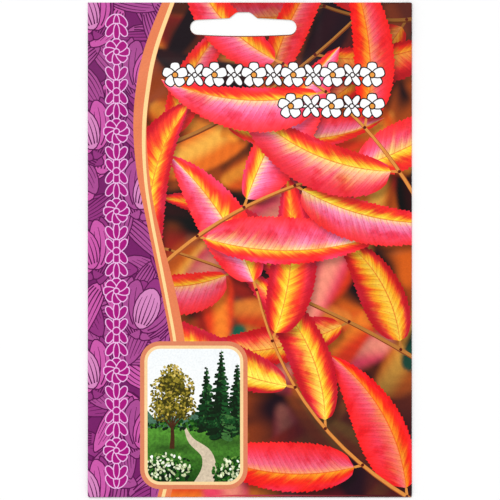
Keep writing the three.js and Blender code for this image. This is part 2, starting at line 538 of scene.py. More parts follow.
def backdrop(rng):
    spots = soft_spots(rng)
    leaves = soft_leaves(rng)

    def colour_at(x, y):
        points = np.column_stack([x, y])
        colour = np.tile(ink(BACKDROP_BASE), (len(x), 1))
        for cx, cy, heading, half_length, half_width, softness, tint in spots:
            u = (x - cx) * math.cos(heading) + (y - cy) * math.sin(heading)
            v = (y - cy) * math.cos(heading) - (x - cx) * math.sin(heading)
            distance = np.hypot(u / half_length, v / half_width)
            cover = 1 - smooth(distance, 1 - softness, 1 + softness)
            colour += cover[:, None] * (tint - colour)
        for leaf, soft, edge, middle in leaves:
            dark = leaf.cover(points - SOFT_SHADOW_FALL, soft + 1.5)
            colour *= 1 - SOFT_SHADE * dark[:, None]
            cover = leaf.cover(points, soft)
            along, across = leaf.locate(points)
            heart = (1 - smooth(np.abs(across), 0.4, 0.75 * leaf.half_width))[:, None]
            streak = 0.06 * np.sin(1.9 * (along - 0.8 * np.abs(across)))[:, None]
            tint = (edge + heart * (middle - edge)) * (1 + streak)
            colour += cover[:, None] * (tint - colour)
        dimmed = GLOOM_COVER * gloom(x, y)[:, None]
        return colour * (1 - dimmed) + ink(GLOOM_DEPTH) * dimmed

    return Painted(colour_at)


def bezier(points, t):
    """A quadratic curve and its heading."""
    a, b, c = (np.array(p, float) for p in points)
    spot = (1 - t) ** 2 * a + 2 * t * (1 - t) * b + t**2 * c
    way = 2 * (1 - t) * (b - a) + 2 * t * (c - b)
    return spot, math.atan2(way[1], way[0])


GLOOM_TINT = np.array((0.02, 0.64, 0.72))  # what the dark takes from a leaf's red, green and blue
STALK = 2.6
STEM = (226, 146, 70)
STEM_SHADED = (164, 82, 42)
NODE = (96, 34, 26)


def twig(art, rng, points, pitch, leaf_length, half_width, spread, first_side, shade):
    """A twig with single leaves that take turns on its two sides, and one at its tip."""
    line = np.array([bezier(points, t)[0] for t in np.linspace(0, 1, 15)])
    length = np.sum(np.hypot(*np.diff(line, axis=0).T))
    count = max(2, round(length / pitch))
    side = first_side
    stalks = []
    for k in range(count + 1):
        t = min((k + 0.45) / (count + 0.45), 1)
        last = k == count
        spot, heading = bezier(points, t)
        lean = 0 if last else side * spread * (1.1 - 0.35 * t)
        heading += lean + rng.uniform(-0.14, 0.14)
        size = leaf_length * (0.82 + 0.25 * math.sin(math.pi * t)) * rng.uniform(0.92, 1.08)
        width = half_width * rng.uniform(0.88, 1.12)
        bend = (side if last else -side) * rng.uniform(0.3, 1.1)
        tilt = rng.choice([-1, 1]) * rng.uniform(0.1, 0.45)
        warm = rng.uniform(0.0, 0.95)
        pink = rng.uniform(0.0, 1.0) ** 0.75
        foot = ahead(spot, heading, STALK)
        middle = ahead(foot, heading, size / 2)
        dimmed = shade * (1 - GLOOM_TINT * gloom(*middle)) * rng.uniform(0.9, 1.05)
        leaf = Leaf(*foot, heading, size, width, bend, tilt, (warm, pink), dimmed, rng.uniform(0, 10))
        art.leaves.append((art.lay(leaf.outline(), leaf), leaf))
        stalks.append((spot, foot))
        side = -side
    dim = np.mean(shade) ** 0.5
    stem, shaded = (Plain(tuple(dim * c for c in rgb)) for rgb in (STEM, STEM_SHADED))
    for ends in stalks:
        art.lay(ribbon(ends, 0.9, 0.7), stem)
    art.lay(ribbon(line + [0.2, -0.25], 1.4, 0.8), shaded)
    art.lay(ribbon(line, 1.05, 0.55), stem)
    for spot, _ in stalks:
        art.lay(ring(*spot, 0.5, steps=8), Plain(NODE))


FAR_SHADE = np.array((0.52, 0.36, 0.32))
BACK_SHADE = np.array((0.84, 0.66, 0.56))
FRONT_SHADE = np.array((1.0, 1.0, 1.0))
# Each twig, from the back: where it starts, bends and ends, leaf pitch, leaf length, half width,
# spread, first side and shade
TWIGS = (
    ((52, 70), (34, 66), (8, 80), 18, 40, 5.6, 0.9, 1, FAR_SHADE),
    ((52, -34), (20, -14), (-24, 0), 19, 44, 6.0, 0.95, -1, BACK_SHADE),
    ((-30, 30), (2, 40), (34, 72), 19, 44, 5.6, 0.95, 1, 0.9 * BACK_SHADE),
    ((54, -78), (12, -56), (2, -12), 17, 53, 6.9, 0.85, -1, FRONT_SHADE),
    ((-34, -12), (-8, 16), (30, 24), 17, 54, 7.0, 0.9, 1, FRONT_SHADE),
    ((58, 0), (40, 40), (10, 56), 18, 50, 6.6, 0.95, -1, FRONT_SHADE),
)


def main_picture(art):
    rng = np.random.default_rng(PICTURE_SEED)
    ends = ARC_END + 2 * SIDE + 10
    art.lay(box(-ends, FOOT - 20, ends, TOP + 2), backdrop(rng))
    for start, bend, end, *growth in TWIGS:
        twig(art, rng, (start, bend, end), *growth)


# The band between the picture and the strip, from its top down. Each station has its height, the
# cream line's middle and width, and how far the orange reaches past that line to the left and right
BAND = through(
    (
        (80, -21.2, 1.2, 2.4, 0.1),
        (61, -28.1, 1.25, 2.85, 0.1),
        (48, -30.7, 1.2, 3.0, 0.1),
        (36, -31.85, 1.15, 2.6, 0.2),
        (23, -31.5, 0.95, 1.95, 0.8),
        (10, -29.7, 0.95, 1.2, 1.1),
        (-14, -25.0, 0.95, 0.85, 2.5),
        (-32, -22.0, 0.9, 0.9, 2.5),
        (-50, -21.9, 0.9, 1.1, 2.5),
        (-72, -25.5, 1.05, 1.2, 1.7),
        (-90, -31.0, 1.1, 1.2, 1.5),
    )
)


def band_edge(offset, cream_part):
    """A line down the band: so many cream widths right of the cream line's middle, and offset further."""
    return np.column_stack([BAND[:, 1] + cream_part * BAND[:, 2] + offset, BAND[:, 0]])


def band(art):
    for left, right, tint in ((-BAND[:, 3], BAND[:, 4], BAND_ORANGE), (0, 0, BAND_CREAM)):
        art.lay(np.vstack([band_edge(left, -0.5), band_edge(right, 0.5)[::-1]]), Plain(tint))


# The strip: tulips and long leaves in five purple tints, each shape with a dark line round it

STRIP_EDGE_WIDTH = 0.36
VEIN_WIDTHS = (0.42, 0.14)  # where a dark line along a petal starts and ends
FIVE_LINES = (-0.66, -0.34, 0, 0.34, 0.66)
FRIEZE_X = -40.1  # the middle of the frieze that runs down the strip


def veined(art, window, shape, tint, parts):
    """A leaf or petal with dark lines along it, which lie those parts of the way to its edges."""
    edge = Plain(STRIP_LINE)
    art.edged(blade(*shape), Plain(tint), edge, STRIP_EDGE_WIDTH, window)
    for part in parts:
        t = np.linspace(0.13, 0.86 * (1 - 0.25 * abs(part)), 8)
        art.lay(ribbon(blade_line(*shape, part, t), *VEIN_WIDTHS), edge, window)


def tulip(art, window, x, y, heading, size, tints):
    """A cup of six petals; tints go from its back petals to its front one."""
    back, flank, front = tints

    def petal(turn, length, width, widest, fullness, bend, tint, parts):
        shape = (x, y, heading + turn, length * size, width * size, widest, fullness, bend)
        veined(art, window, shape, tint, parts)

    for side in (-1, 1):
        petal(side * 0.26, 1.04, 0.42, 0.58, 1.05, 0, back, (-0.4, 0.4))
    petal(0, 1.14, 0.4, 0.58, 1.1, 0, back, ())
    for side in (-1, 1):
        petal(side * 0.78, 1.08, 0.5, 0.45, 1.0, -side * 0.85, flank, (-0.55, -0.1, 0.4))
    petal(0, 0.92, 0.56, 0.52, 1.1, 0, front, FIVE_LINES)


def long_leaf(art, window, x, y, heading, length, width, bend, tint):
    veined(art, window, (x, y, heading, length, width, 0.45, 1.2, bend), tint, FIVE_LINES)


STRIP_TINTS = (STRIP_MID, STRIP_FULL, STRIP_BRIGHT, STRIP_FULL)
LEAF_ROWS, LEAF_COLUMNS = 26, 5  # leaves behind the tulips, spread evenly but a little out of line
LEAF_START = (-53, -80)
LEAF_PITCH = (7.6, 6.3)
TULIPS = 9
TULIP_START = -78
TULIP_PITCH = 18
TULIP_SIZE = 14.5
TULIP_OFFSET = 6.8  # how far they stand to either side of the frieze
TULIP_LEAVES = ((0.9, 20), (-0.7, 22))  # how far the two leaves at its foot lean, and their lengths


def strip(art):
    rng = np.random.default_rng(STRIP_SEED)
    left = band_edge(0, 0)
    outside = -ARC_END - 2 * SIDE
    outline = np.vstack([left, [(outside, left[-1, 1]), (outside, left[0, 1])]])
    window = art.window(outline)
    art.lay(outline, Plain(STRIP_DARK), window)
    for row in range(LEAF_ROWS):
        for column in range(LEAF_COLUMNS):
            x = LEAF_START[0] + LEAF_PITCH[0] * column + rng.uniform(-2.5, 2.5)
            y = LEAF_START[1] + LEAF_PITCH[1] * row + rng.uniform(-3, 3)
            heading = rng.uniform(0, 2 * math.pi)
            tint = STRIP_TINTS[rng.integers(len(STRIP_TINTS))]
            size, width = rng.uniform(15, 22), rng.uniform(6, 8.5)
            long_leaf(art, window, x, y, heading, size, width, rng.uniform(-0.9, 0.9), tint)
    for k in range(TULIPS):
        side, leaf_tint, flank = (1, STRIP_FULL, STRIP_FULL) if k % 2 else (-1, STRIP_MID, STRIP_BRIGHT)
        x = FRIEZE_X + side * TULIP_OFFSET
        y = TULIP_START + k * TULIP_PITCH
        heading = math.radians(90 - side * 20)
        for lean, size in TULIP_LEAVES:
            long_leaf(art, window, x, y - 3, heading + side * lean, size, 6, -side * lean, leaf_tint)
        front = STRIP_BRIGHT if k % 3 == 1 else STRIP_LIGHT
        tulip(art, window, x, y, heading, TULIP_SIZE, (STRIP_MID, flank, front))


# Small ornaments for the frieze and the garlands


def rosette(art, x, y, radius, petals, width, *inks):
    """A round flower of separate petals. Its inks are its fill, its edge and that edge's width."""
    for k in range(petals):
        heading = math.pi / 2 + 2 * math.pi * k / petals
        art.outlined(blade(x, y, heading, radius, width, 0.66, 0.8), *inks)


def sprig(art, x, y, heading, reach, leaf, *inks):
    """Two pairs of leaves, each with a bud, that grow from x, y in one direction, as far as reach."""
    width = 0.42 * leaf
    for run in (0, reach - leaf):
        foot = ahead((x, y), heading, run)
        for side in (-1, 1):
            shape = blade(*foot, heading + side * 0.95, leaf, width, 0.55, 0.95, bend=-side * 0.55)
            art.outlined(shape, *inks)
        art.outlined(blade(*foot, heading, leaf, 0.8 * width, 0.55, 1.0), *inks)


# The frieze down the strip: rosettes, with sprigs that grow towards them from both sides

FRIEZE_HALF = 3.75
FRIEZE_TOP = 70.6
FRIEZE_FOOT = -71.4
FRIEZE_LINE = 0.3
ROSETTES = 6
ROSETTE_PITCH = 24
FRIEZE_LEAF = 4.5


def frieze(art):
    inks = (Plain(FRIEZE_FILL), Plain(FRIEZE_EDGE), FRIEZE_LINE)
    middle = (FRIEZE_TOP + FRIEZE_FOOT) / 2
    first = middle - (ROSETTES - 1) / 2 * ROSETTE_PITCH
    up, down = math.pi / 2, -math.pi / 2
    end_reach = first - FRIEZE_HALF - FRIEZE_FOOT
    reach = ROSETTE_PITCH / 2 - FRIEZE_HALF
    sprig(art, FRIEZE_X, FRIEZE_FOOT, up, end_reach, FRIEZE_LEAF, *inks)
    for k in range(ROSETTES - 1):
        y = first + (k + 0.5) * ROSETTE_PITCH
        sprig(art, FRIEZE_X, y, down, reach, FRIEZE_LEAF, *inks)
        sprig(art, FRIEZE_X, y, up, reach, FRIEZE_LEAF, *inks)
        art.outlined(ring(FRIEZE_X, y, 1.0, steps=12), *inks)
    sprig(art, FRIEZE_X, FRIEZE_TOP, down, end_reach, FRIEZE_LEAF, *inks)
    for k in range(ROSETTES):
        y = first + k * ROSETTE_PITCH
        rosette(art, FRIEZE_X, y, FRIEZE_HALF, 8, 2.3, *inks)
        art.outlined(ring(FRIEZE_X, y, 0.75, steps=10), *inks)


# The two white garlands: flowers, and four leaves in each gap between them

GARLANDS = ((-26.2, 40.5, 52.6, 6), (8.6, 40.5, 43.2, 3))  # left and right end, middle line, flowers
GARLAND_HALF = 3.7
GARLAND_LINE = 0.36
GARLAND_HEART = (240, 160, 70)


def garland(art, start, end, middle, flowers):
    line = (Plain(GARLAND_EDGE), GARLAND_LINE)
    inks = (Plain(GARLAND_FILL), *line)
    pitch = (end - start - 2 * GARLAND_HALF) / (flowers - 1)
    first = start + GARLAND_HALF
    art.outlined(ribbon([(first, middle), (end - GARLAND_HALF, middle)], 0.6), *inks)
    for k in range(flowers - 1):
        x = first + (k + 0.5) * pitch
        for turn in (55, 125, 235, 305):
            art.outlined(blade(x, middle, math.radians(turn), GARLAND_HALF, 1.7, 0.55, 1.0), *inks)
        art.outlined(ring(x, middle, 0.55, steps=10), *inks)
    for k in range(flowers):
        x = first + k * pitch
        rosette(art, x, middle, GARLAND_HALF, 5, 2.7, *inks)
        art.outlined(ring(x, middle, 0.7, steps=12), Plain(GARLAND_HEART), *line)


# The inset: a small garden view in a rounded frame

INSET_LEFT, INSET_RIGHT = -33.0, -0.66
INSET_LOW, INSET_HIGH = -72.0, -27.5
INSET_RADIUS = 6.0
INSET_BORDER = 1.3
INSET_LINE = 0.95
HORIZON = -53.5

SKY = (253, 254, 251)
HIGH_SKY = (246, 250, 252)
FAR_LAWN = (84, 144, 52)
NEAR_LAWN = (30, 68, 24)
PATH = (214, 196, 170)
FAR_TINT = (78, 116, 94)
BARK = (74, 46, 32)
AUTUMN = ((66, 62, 24), (108, 100, 34), (152, 136, 50), (194, 168, 76), (224, 204, 122))
HEDGE = ((12, 40, 18), (28, 72, 26), (58, 112, 40), (104, 150, 62))
BLOSSOM = ((196, 206, 160), (232, 238, 206), (252, 252, 246))
SPRUCE = ((12, 40, 24), (20, 58, 32), (36, 82, 42), (66, 112, 58))

SPRUCE_ROWS = 26
# Conifers: middle, foot, height and half width
SPRUCES = ((-13.0, -55.0, 20, 3.4), (-3.8, -56.4, 22.5, 3.8), (-8.6, -57.4, 27.5, 4.6))
TRUNK = (-23.4, -59.8, -52.5, 5)  # the golden tree's middle, foot and fork, and its limbs' spread
CROWN = (-23.2, -43.8)  # the middle of its crown
# The crown's lobes: how far each is right of that middle and above it, and its radius
CROWN_LOBES = ((-2.8, -3.9, 4.0), (2.9, -3.5, 4.1), (-2.4, 1.4, 4.3), (2.3, 2.2, 4.2), (-0.2, 5.7, 3.6))
# Flower beds: the middle, the radii of the leaves and of the blossoms, and how many leaves, dark
# lobes and blossoms each has
BEDS = (
    ((-25, -66.0), (8.0, 4.8), (7.0, 4.2), 210, 12, 84),
    ((-5.2, -66.6), (6.2, 4.4), (5.2, 3.6), 150, 10, 56),
)
PATH_LINE = ((-19.5, HORIZON), (-17.5, -57.5), (-13, -61.5), (-12.5, -67), (-16, -74))


def dabs(art, rng, window, centre, radii, count, size, tints, clumps=0):
    """A crown or a bush: a few dark lobes, then many small leaves, the light ones last and higher up."""

    def spot(a, r):
        return centre[0] + radii[0] * r * math.cos(a), centre[1] + radii[1] * r * math.sin(a)

    lobe_size = 0.42 * min(radii)
    for _ in range(clumps):
        a, r = rng.uniform(0, 2 * math.pi), rng.uniform(0.15, 0.65)
        lobe = ring(*spot(a, r), lobe_size, 0.8 * lobe_size, rng.uniform(0, 3), 11)
        art.lay(lobe, Plain(tints[0], 0.9), window)
    for k in range(count):
        a, r = rng.uniform(0, 2 * math.pi), math.sqrt(rng.uniform(0, 1))
        light = 0.6 * k / count + 0.25 * r * math.sin(a) + rng.uniform(-0.15, 0.25)
        tint = tints[int(np.clip(light, 0, 0.999) * len(tints))]
        long, short, turn = size * rng.uniform(0.6, 1.2), size * rng.uniform(0.35, 0.7), rng.uniform(0, 3)
        art.lay(ring(*spot(a, r), long, short, turn, 7), Plain(tint, 0.6), window)


def spruce(art, rng, window, x, foot, height, half_width):
    """A conifer: drooping boughs on both sides of a dark cone, shorter towards its pointed top."""
    cone = [(x - 0.75 * half_width, foot + 0.6), (x + 0.75 * half_width, foot + 0.6), (x, foot + height)]
    art.lay(cone, Plain(SPRUCE[0], 0.8), window)
    for row in range(SPRUCE_ROWS):
        t = row / SPRUCE_ROWS
        reach = half_width * (1 - t) * min(1, 0.6 + 4 * t) + 0.4
        for side in (-1, 1):
            y = foot + 1.2 + (height - 1.2) * t + rng.uniform(-0.35, 0.35)
            tint = SPRUCE[int(np.clip(rng.uniform(0.6, 2.6) + 0.9 * side, 0, 3))]
            length = reach * rng.uniform(0.8, 1.25)
            droop = math.radians(90 - side * rng.uniform(108, 122))
            bough = blade(x, y, droop, length, 1.3 - 0.7 * t, 0.6, 0.9, side * 0.5)
            art.lay(bough, Plain(tint, 0.7), window)
    for rise, spread, count in ((0.45, 0.5, 46), (0.16, 0.85, 70)):
        middle = (x + 0.1 * half_width, foot + rise * height)
        dabs(art, rng, window, middle, (spread * half_width, 0.7 * rise * height), count, 0.5, SPRUCE)


def tree_trunk(art, window, x, foot, fork, spread):
    """A trunk with a few rising limbs."""
    bark = Plain(BARK, 0.5)
    art.lay(ribbon([(x, foot), (x + 0.2, (foot + fork) / 2), (x, fork)], 1.5, 0.9), bark, window)
    for reach, rise in ((-1, 0.9), (-0.45, 1.5), (0.1, 1.9), (0.5, 1.4), (1, 0.8)):
        tip = (x + reach * spread, fork + rise * spread)
        limb = curve(((x, fork - 1.2), (x + 0.3 * reach * spread, fork + 1), tip), 5)
        art.lay(ribbon(limb, 0.7, 0.2), bark, window)


def between(low_ink, high_ink, part):
    """A colour that part of the way from one to the other."""
    return ink(low_ink) * (1 - part) + ink(high_ink) * part


def sky_colour(x, y):
    return between(SKY, HIGH_SKY, smooth(y, HORIZON, INSET_HIGH)[:, None])


def lawn_colour(x, y):
    """Darker towards the viewer and under the trees, with faint mown stripes."""
    near = smooth(y, HORIZON, INSET_LOW)[:, None]
    mown = 0.5 + 0.5 * np.sin((y + 0.15 * x) * 2.4)[:, None]
    under_crown = np.exp(-(((x + 23) / 7) ** 2) - ((y + 59.5) / 1.5) ** 2)
    under_spruces = np.exp(-(((x + 7) / 8) ** 2) - ((y + 57.5) / 2.0) ** 2)
    shade = 1 - 0.6 * np.clip(under_crown + under_spruces, 0, 1)[:, None]
    return between(FAR_LAWN, NEAR_LAWN, near) * (0.92 + 0.16 * mown) * shade


def far_trees(rng):
    """The outline of the trees on the horizon, with a lumpy top."""
    x = np.linspace(INSET_LEFT, INSET_RIGHT, 60)
    lumps = np.zeros(len(x))
    for _ in range(6):
        lumps += rng.uniform(0.3, 0.9) * np.sin(x * rng.uniform(0.4, 2.6) + rng.uniform(0, 6))
    top = np.column_stack([x, HORIZON + 4.6 + lumps])
    return np.vstack([top, [(INSET_RIGHT, HORIZON - 2), (INSET_LEFT, HORIZON - 2)]])


def inset(art):
    rng = np.random.default_rng(INSET_SEED)
    outer = rounded_box(INSET_LEFT, INSET_LOW, INSET_RIGHT, INSET_HIGH, INSET_RADIUS)
    art.lay(outer, Plain(INSET_ORANGE))
    art.lay(grown(outer, -INSET_BORDER), Plain(INSET_CREAM))
    view = grown(outer, -INSET_BORDER - INSET_LINE)
    window = art.window(view)
    art.lay(view, Painted(sky_colour), window)
    art.lay(far_trees(rng), Plain(FAR_TINT, 0.7), window)
    art.lay(box(INSET_LEFT, INSET_LOW, INSET_RIGHT, HORIZON), Painted(lawn_colour, 0.55), window)
    art.lay(ribbon(through(PATH_LINE, 5), 0.6, 6.0), Plain(PATH, 0.25), window)
    dabs(art, rng, window, (-16, HORIZON + 0.8), (15, 1.7), 150, 0.7, HEDGE, clumps=12)
    for place in SPRUCES:
        spruce(art, rng, window, *place)
    tree_trunk(art, window, *TRUNK)
    for across, up, size in CROWN_LOBES:
        lobe = (CROWN[0] + across, CROWN[1] + up)
        dabs(art, rng, window, lobe, (size, size), 150, 0.55, AUTUMN, clumps=6)
    for middle, leafy, blossoming, leaves, lobes, blossoms in BEDS:
        dabs(art, rng, window, middle, leafy, leaves, 0.7, HEDGE, clumps=lobes)
        dabs(art, rng, window, (middle[0], middle[1] + 0.6), blossoming, blossoms, 0.6, BLOSSOM)


# The back: a cream page with a thin frame, a row of small leaves, blank cells and blank lines

BACK_CREAM = (248, 243, 234)
BACK_BORDER = (236, 150, 108)
BACK_LEAF_GROUND = (250, 226, 190)
BACK_RULE = (176, 150, 140)
BACK_CELL = (236, 232, 222)
BACK_HALF = 38  # half the width of what stands inside the frame
BACK_COLUMNS = 12
# The two rows of cells: the lower edge, the tint of some of them, and the first and last of those
BACK_ROWS = ((30, (244, 206, 168), 2, 4), (20, (206, 222, 176), 5, 9))
CELL_HEIGHT = 8
BACK_LEAF_LINE = 49


def back_page(art):
    far = 3 * SIDE + ARC_END
    near = ARC_END + BLEED
    back_parts = (
        box(-far, FOOT - 1, -near, TOP + 1),
        box(near, FOOT - 1, far, TOP + 1),
        box(-far, FOOT - 30, far, FOOT - ARC - BLEED),
    )
    for part in back_parts:
        art.lay(part, Plain(BACK_CREAM), art.window(part))

    def lay(outline, tint):
        """Lays a shape of the back, seen from behind, on each of the net's two back halves."""
        for middle in (-BACK_MIDDLE, BACK_MIDDLE):
            art.lay(outline * [-1, 1] + [middle, 0], Plain(tint))

    def frame_line(x, low, high, width, tint):
        lay(box(-x, low, x, low + width), tint)
        lay(box(-x, high - width, x, high), tint)
        lay(box(-x, low + width, width - x, high - width), tint)
        lay(box(x - width, low + width, x, high - width), tint)

    frame_line(43.5, -57, 60, 1.1, BAND_ORANGE)
    frame_line(41.9, -55.4, 58.4, 0.5, BAND_CREAM)
    lay(box(-BACK_HALF, 44, BACK_HALF, 54), BACK_BORDER)
    lay(box(1 - BACK_HALF, 45, BACK_HALF - 1, 53), BACK_LEAF_GROUND)
    for k in range(9):
        x = -32 + 8 * k
        for side in (-1, 1):
            turn = math.radians(side * 42)
            lay(blade(x - 3, BACK_LEAF_LINE, turn, 4.6, 1.8, 0.5, 1.1, -side * 0.5), FRIEZE_FILL)
        lay(ring(x + 1.6, BACK_LEAF_LINE, 0.7, steps=10), BAND_ORANGE)
    column = 2 * BACK_HALF / BACK_COLUMNS
    for k in range(BACK_COLUMNS):
        x = -BACK_HALF + k * column
        for y, tint, first, last in BACK_ROWS:
            cell = box(x + 0.5, y, x + column - 0.5, y + CELL_HEIGHT)
            lay(cell, tint if first <= k <= last else BACK_CELL)
    for k in range(9):
        y = 10 - 6.5 * k
        lay(box(-BACK_HALF, y, BACK_HALF, y + 0.25), BACK_RULE)


# The folded packet


def lift(x, y):
    """How far the packet stands off the table: two corners curl up a little."""
    head = smooth(x / SIDE + y / TOP, 1.35, 2.1)
    foot = smooth(-x / SIDE - y / TOP, 1.45, 2.1)
    return 0.55 * head + 0.35 * foot


def tube_floor(y):
    return PAPER * ramp(y, FLAP_EDGE + STEP_GAP + STEP_LENGTH, FLAP_EDGE + STEP_GAP)


def tube_roof(y):
    return RIM + (HEAD - RIM) * smooth(y, HEAD_LINE - HEAD_RAMP, HEAD_LINE)


def pillow(x, y):
    middle = (FOOT + HEAD_LINE) / 2
    along = (y - middle) / (HEAD_LINE - middle)
    return DOME * (1 - (x / SIDE) ** 2) * np.maximum(0, 1 - along**2)


def head_dip(x, y):
    """The flat head sinks onto the plies under it, and stands up over the seam's double ply."""
    seam = smooth(x, SEAM_EDGE - 2.5, SEAM_EDGE) * (1 - smooth(x, HIDDEN_EDGE, HIDDEN_EDGE + 2.5))
    flat = smooth(y, HEAD_LINE - 3, HEAD_LINE + 3) * (1 - smooth(np.abs(x), SIDE - 3, SIDE))
    return 0.12 * flat * (1 - seam)


def ripples(x, y):
    """Soft creases of the pouch, fading towards its rim."""
    calm = (1 - (x / SIDE) ** 4) * smooth(y, FOOT, FOOT + 10) * (1 - smooth(y, 46, 58))
    wave = np.sin(0.16 * x + 0.07 * y + 1.1) * np.sin(0.05 * x - 0.11 * y)
    corner = np.exp(-((np.abs(x) - 34) ** 2) / 160 - (y - 42) ** 2 / 260)
    crease = np.sin((np.abs(x) + y) * 0.55) * corner
    return calm * (0.10 * wave + 0.10 * crease - 0.08)


def front_place(s, y, depth):
    side = np.sign(s)
    angle = np.clip(np.abs(s) - SIDE, 0, ARC) / FOLD
    x_front = np.clip(s, -SIDE, SIDE)
    flat = np.abs(s) <= SIDE
    relief = np.where(flat, pillow(x_front, y) + ripples(x_front, y) - head_dip(x_front, y), 0)
    middle = (tube_roof(y) + tube_floor(y)) / 2
    half = (tube_roof(y) - tube_floor(y)) / 2
    x = x_front + side * (FOLD - depth) * np.sin(angle)
    z = middle + (half - depth) * np.cos(angle) + relief
    return np.column_stack([x, y, z + lift(x, y)])


def foot_place(s, y, depth):
    """The foot fold, with a round cap at each end, and the flap that lies under the back."""
    side = np.sign(s)
    cap = np.clip(np.abs(s) - SIDE, 0, ARC / 2) / FOLD
    run = FOOT - y
    angle = np.clip(run, 0, ARC) / FOLD
    radius = FOLD - depth
    x = np.clip(s, -SIDE, SIDE) + side * radius * np.sin(cap)
    place_y = FOOT - radius * np.cos(cap) * np.sin(angle) + np.maximum(run - ARC, 0)
    z = FOLD + radius * np.cos(cap) * np.cos(angle)
    return np.column_stack([x, place_y, z + lift(x, place_y)])


def back_place(s, y, depth):
    x = -s - BACK_MIDDLE
    climb_end = SEAM_EDGE - STEP_GAP
    z = tube_floor(y) + PAPER * ramp(x, climb_end - STEP_LENGTH, climb_end) + depth
    return np.column_stack([x, y, z + lift(x, y)])


def seam_place(s, y, depth):
    x = BACK_MIDDLE - s
    return np.column_stack([x, y, tube_floor(y) + depth + lift(x, y)])


# Cutting and meshing


def lattice(low_x, low_y, high_x, high_y, step):
    """Points all over a rectangle, every other row shifted by half a step."""
    rows = np.arange(low_y + step / 2, high_y, step * 0.87)
    points = []
    for k, y in enumerate(rows):
        x = np.arange(low_x + step * (0.25 + 0.5 * (k % 2)), high_x, step)
        points.append(np.column_stack([x, np.full(len(x), y)]))
    return np.vstack(points)


def triangulate(loose, lines, outlines):
    """Cuts the plane along lines and outlines: points, triangles, and the outlines round each triangle."""
    points = [loose]
    edges = []
    faces = []
    total = len(loose)
    for line in lines:
        points.append(line)
        edges += [(total + k, total + k + 1) for k in range(len(line) - 1)]
        total += len(line)
    for outline in outlines:
        points.append(outline)
        faces.append(list(range(total, total + len(outline))))
        total += len(outline)
    vectors = [Vector(p) for p in np.vstack(points)]
    verts, _, triangles, _, _, inside = delaunay_2d_cdt(vectors, edges, faces, 0, 1e-3, True)
    return np.array([tuple(v) for v in verts]), np.array(triangles), inside


def overlaps(outline, low, high):
    return np.all(outline.max(axis=0) > low) and np.all(outline.min(axis=0) < high)


def on_ply(inside, hole):
    """The triangles that lie inside the ply and outside its hole, which are the first two outlines."""
    return [k for k, faces in enumerate(inside) if 0 in faces and (hole is None or 1 not in faces)]


def edges_of(triangles):
    return np.vstack([triangles[:, [0, 1]], triangles[:, [1, 2]], triangles[:, [2, 0]]])


def ink_edges(triangles, inks):
    """The edges where the ink changes."""
    edges = edges_of(triangles)
    edges, which = np.unique(np.sort(edges, axis=1), axis=0, return_inverse=True)
    low = np.full(len(edges), inks.max())
    high = np.zeros(len(edges), int)
    np.minimum.at(low, which.ravel(), np.tile(inks, 3))
    np.maximum.at(high, which.ravel(), np.tile(inks, 3))
    return edges[low < high]


def cut_ply(art, domain, hole, guides):
    """One ply out of the net: its points, its triangles, and the layer of ink on each.

    All outlines are laid over each other first, to see which ink shows where. The mesh is then
    made from the rim that this gives and from only those edges where the ink changes.
    """
    domain = anticlockwise(domain)
    low, high = domain.min(axis=0), domain.max(axis=0)
    shown = [n for n, outline in enumerate(art.outlines) if overlaps(outline, low, high)]
    frames = [domain] if hole is None else [domain, anticlockwise(hole)]
    spines = [leaf.spine() for _, leaf in art.leaves if overlaps(leaf.outline(), low, high)]
    rough, faces, inside = triangulate(np.empty((0, 2)), [], frames + [art.outlines[n] for n in shown])
    kept = on_ply(inside, hole)
    faces = faces[kept]

    def shown_layer(laid):
        return art.top([shown[n - len(frames)] for n in laid if n >= len(frames)])

    layers = np.array([shown_layer(inside[k]) for k in kept])
    seams = rough[ink_edges(faces, art.same_inks()[layers])]
    rims = [anticlockwise(rough[loop]) for loop in chain(boundary(faces))]
    rims.sort(key=signed, reverse=True)
    lines = [*guides, *spines, *seams]
    points, triangles, inside = triangulate(lattice(*low, *high, GRID), lines, rims)
    triangles = triangles[on_ply(inside, hole)]
    rough_tree = BVHTree.FromPolygons([(x, y, 0) for x, y in rough], faces.tolist())
    middles = points[triangles].mean(axis=1)
    found = [rough_tree.find_nearest((x, y, 0))[2] for x, y in middles]
    used = np.unique(triangles)
    renumber = np.zeros(len(points), int)
    renumber[used] = np.arange(len(used))
    return points[used], renumber[triangles], layers[found]


def boundary(triangles):
    """The edges that only one triangle has, in that triangle's direction."""
    edges = edges_of(triangles)
    keys = np.sort(edges, axis=1)
    _, first, count = np.unique(keys, axis=0, return_index=True, return_counts=True)
    return edges[first[count == 1]]


def inner_side(points, edges):
    """The plain inner side: which points are on its rim, all its points, rim first, and its triangles.

    The triangles run clockwise on the net, because they face the other way.
    """
    rim = np.unique(edges)
    place_of = {v: k for k, v in enumerate(rim)}
    loose = lattice(*points.min(axis=0), *points.max(axis=0), COARSE)
    inner_points = np.vstack([points[rim], loose])
    loops = [[place_of[v] for v in loop] for loop in chain(edges)]
    areas = [signed(inner_points[loop]) for loop in loops]
    outer = int(np.argmax(np.abs(areas)))
    loops = [loop if area > 0 else loop[::-1] for loop, area in zip(loops, areas)]
    vectors = [Vector(p) for p in inner_points]
    _, _, triangles, source, _, inside = delaunay_2d_cdt(vectors, [], loops, 0, 1e-6, True)
    kept = [t for t, faces in zip(triangles, inside) if faces == [outer]]
    return rim, inner_points, np.array([[min(source[v]) for v in reversed(t)] for t in kept])


def chain(edges):
    """Joins directed edges into closed loops of points."""
    onward = {int(a): int(b) for a, b in edges}
    loops = []
    while onward:
        start = next(iter(onward))
        loop = [start]
        here = onward.pop(start)
        while here != start:
            loop.append(here)
            here = onward.pop(here)
        loops.append(loop)
    return loops


